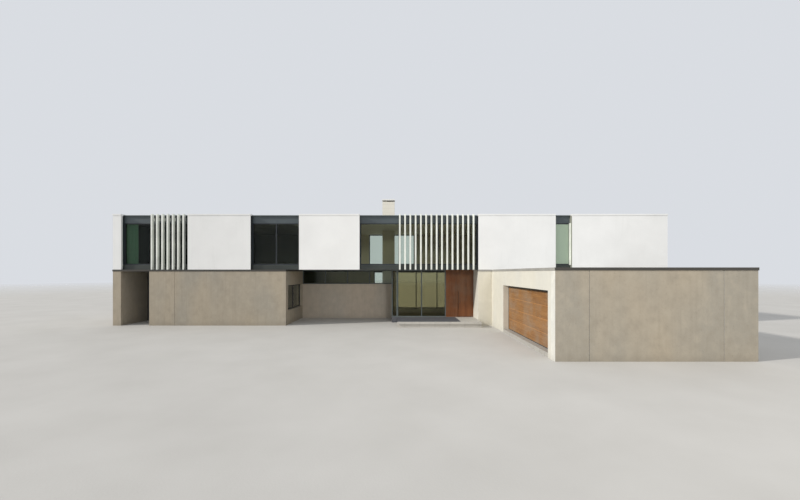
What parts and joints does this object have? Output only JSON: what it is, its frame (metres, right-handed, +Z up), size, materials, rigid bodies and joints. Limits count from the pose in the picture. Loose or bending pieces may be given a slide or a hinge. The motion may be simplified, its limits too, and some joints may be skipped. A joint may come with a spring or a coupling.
{
  "type": "detached modern house",
  "caption": "Long two-storey house: white rendered upper storey with metal fins over gray stone walls, a recessed porch with a hinged front door, and a projecting garage wing.",
  "frame": {"origin": "middle of the footprint's bounding box, at the lowest ground level", "axes": "+X along the front to the viewer's right, +Y from the front to the garden side, +Z up"},
  "size_m": [34.72, 17.645, 8.8],
  "materials": {
    "white_render": "smooth white render",
    "gray_stone": "mottled gray stone",
    "porch_stone": "gray stone in shade",
    "alcove_lining": "dark lining",
    "cream_render": "smooth cream render",
    "chimney_render": "beige render",
    "soffit_render": "painted soffit and screed",
    "paving_stone": "sawn paving stone",
    "roof_membrane": "roof membrane",
    "slate_metal": "satin slate paint",
    "coping_metal": "satin charcoal paint",
    "fin_metal": "satin white paint",
    "pale_coping": "satin stone-gray paint",
    "pale_membrane": "pale roof membrane",
    "joint_seal": "matt gray seal",
    "curtain_cloth": "plain woven linen",
    "satin_glass": "satin, pale green",
    "window_glass": "clear, faintly green",
    "door_timber": "oiled red-brown timber",
    "garage_timber": "oiled golden-brown timber",
    "door_metal": "dark bronze"
  },
  "bodies": {
    "house": {"ground_floor_slabs": "paving_stone", "porch_landing": "paving_stone", "left_end_wall": "gray_stone", "alcove_back_wall": "alcove_lining", "alcove_side_wall": "gray_stone", "left_front_wall": "gray_stone", "left_return_wall": "gray_stone", "porch_low_wall": "porch_stone", "entrance_pier": "cream_render", "right_front_wall": "gray_stone", "right_end_wall": "gray_stone", "rear_ground_walls": "gray_stone", "garage_side_wall": "cream_render", "garage_lintel": "cream_render", "garage_front_wall": "gray_stone", "garage_right_wall": "gray_stone", "garage_roof": "pale_membrane", "garage_door": "garage_timber", "garage_door_frame": "coping_metal", "wall_coping": "coping_metal", "ground_window_frames": "slate_metal", "ground_window_glass": "window_glass", "clerestory_frame": "slate_metal", "clerestory_glass": "window_glass", "entrance_screen_frame": "slate_metal", "entrance_screen_glass": "window_glass", "door_side_panel": "door_timber", "door_frame": "door_timber", "door_hinges": "door_metal", "first_floor_slab": "soffit_render", "front_panels": "white_render", "rear_panels": "white_render", "upper_left_wall": "white_render", "upper_right_wall": "white_render", "window_sills": "slate_metal", "window_fascias": "slate_metal", "upper_window_frames": "slate_metal", "upper_window_glass": "window_glass", "left_fins": "fin_metal", "right_fins": "fin_metal", "roof_slab": "roof_membrane", "parapet_coping": "white_render", "chimney": "chimney_render", "chimney_cap": "chimney_render", "fascia_cappings": "slate_metal", "slit_window_glass": "satin_glass", "slit_window_linings": "slate_metal", "garage_side_coping": "pale_coping", "movement_seals": "joint_seal", "curtain_rail": "fin_metal", "curtain": "curtain_cloth"},
    "door_leaf": {"front_door": "door_timber", "door_hardware": "door_metal"}
  },
  "joints": [
    {"name": "front_door_hinge", "type": "hinge", "parent": "house", "child": "door_leaf", "pos_m": [5.451, 2.4775, 1.907], "axis": [0, 0, -1], "range_deg": [0, 90]}
  ]
}
